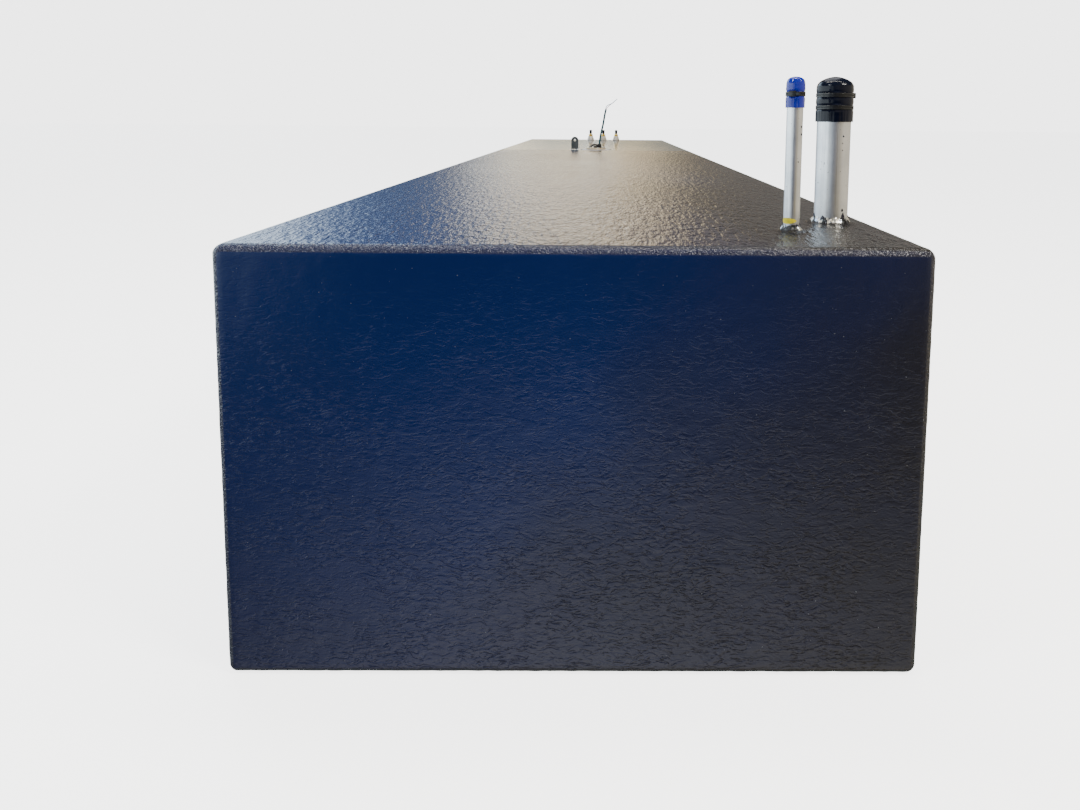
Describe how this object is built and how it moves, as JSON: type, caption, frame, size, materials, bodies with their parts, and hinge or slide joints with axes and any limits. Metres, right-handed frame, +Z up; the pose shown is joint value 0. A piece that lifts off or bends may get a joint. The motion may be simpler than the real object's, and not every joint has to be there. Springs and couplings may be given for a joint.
{
  "type": "water tank",
  "caption": "Long welded aluminium water tank with a sprayed dark coating, baffles, capped fill and vent pipes, a level sender, a bonding lug and three capped outlets.",
  "frame": {"origin": "middle of the underside of the tank", "axes": "+X across the tank, +Y along the tank towards the outlet end, +Z up"},
  "size_m": [0.686, 3.048, 0.6153],
  "materials": {
    "sprayed_coating": "sprayed textured coating, dark navy to black, glossy with a fine leathery wrinkle",
    "sheet_aluminium": "mill-finish sheet",
    "satin_pipe": "satin drawn tube",
    "weld_metal": "rough welded bead with specks of coating",
    "yellow_tape": "thin adhesive tape",
    "black_vinyl": "dip-moulded soft vinyl, glossy",
    "blue_vinyl": "dip-moulded soft vinyl, glossy",
    "black_nylon": "moulded nylon, satin",
    "lug_aluminium": "dull sheet, cut and ground",
    "ring_aluminium": "bare machined ring",
    "gasket_cork": "cork and rubber gasket",
    "plated_flange": "yellow-zinc plated steel, satin",
    "plated_screws": "zinc plated",
    "black_moulding": "moulded plastic",
    "stainless_stem": "stainless tube",
    "float_foam": "closed-cell foam",
    "lead_sheath": "extruded sheath, dark teal",
    "blue_insulation": "thin wire insulation",
    "pink_insulation": "thin wire insulation",
    "bung_aluminium": "turned and welded",
    "fitting_brass": "machined brass"
  },
  "bodies": {
    "tank": {"bottom_pan": "sheet_aluminium", "top_cover_front": "sheet_aluminium", "top_cover_rear": "sheet_aluminium", "front_end": "sheet_aluminium", "rear_end": "sheet_aluminium", "joint_strip": "sheet_aluminium", "baffle_1": "sheet_aluminium", "baffle_2": "sheet_aluminium", "baffle_3": "sheet_aluminium", "baffle_4": "sheet_aluminium", "baffle_5": "sheet_aluminium", "coating_skin": "sprayed_coating", "coating_underside": "sprayed_coating", "fill_pipe": "satin_pipe", "fill_pipe_weld": "weld_metal", "vent_pipe": "satin_pipe", "vent_pipe_weld": "weld_metal", "vent_tape": "yellow_tape", "bonding_lug": "lug_aluminium", "bonding_lug_weld": "weld_metal", "sender_ring": "ring_aluminium", "sender_gasket": "gasket_cork", "sender_flange": "plated_flange", "sender_screws": "plated_screws", "sender_head": "black_moulding", "sender_stem": "stainless_stem", "sender_stop_upper": "stainless_stem", "sender_stop_lower": "stainless_stem", "sender_jumper": "black_moulding", "sender_lead": "lead_sheath", "conductor_blue": "blue_insulation", "conductor_pink": "pink_insulation", "outlet_bung_1": "bung_aluminium", "outlet_bung_2": "bung_aluminium", "outlet_bung_3": "bung_aluminium", "barb_fitting_1": "fitting_brass", "barb_fitting_2": "fitting_brass", "barb_fitting_3": "fitting_brass", "dip_tube_1": "satin_pipe", "dip_tube_2": "satin_pipe", "dip_tube_3": "satin_pipe"},
    "fill_cap": {"fill_cap": "black_vinyl", "fill_tie_upper": "black_nylon", "fill_tie_lower": "black_nylon"},
    "vent_cap": {"vent_cap": "blue_vinyl", "vent_tie": "black_nylon"},
    "outlet_cap_1": {"outlet_cap_1": "black_vinyl"},
    "outlet_cap_2": {"outlet_cap_2": "black_vinyl"},
    "outlet_cap_3": {"outlet_cap_3": "black_vinyl"},
    "float": {"sender_float": "float_foam"}
  },
  "joints": [
    {"name": "fill_cap_pull", "type": "slide", "parent": "tank", "child": "fill_cap", "axis": [0, 0, 1], "range_m": [0, 0.12]},
    {"name": "vent_cap_pull", "type": "slide", "parent": "tank", "child": "vent_cap", "axis": [0, 0, 1], "range_m": [0, 0.08]},
    {"name": "outlet_cap_1_pull", "type": "slide", "parent": "tank", "child": "outlet_cap_1", "axis": [0, 0, 1], "range_m": [0, 0.05]},
    {"name": "outlet_cap_2_pull", "type": "slide", "parent": "tank", "child": "outlet_cap_2", "axis": [0, 0, 1], "range_m": [0, 0.05]},
    {"name": "outlet_cap_3_pull", "type": "slide", "parent": "tank", "child": "outlet_cap_3", "axis": [0, 0, 1], "range_m": [0, 0.05]},
    {"name": "float_rise", "type": "slide", "parent": "tank", "child": "float", "axis": [0, 0, 1], "range_m": [0, 0.3366]}
  ]
}
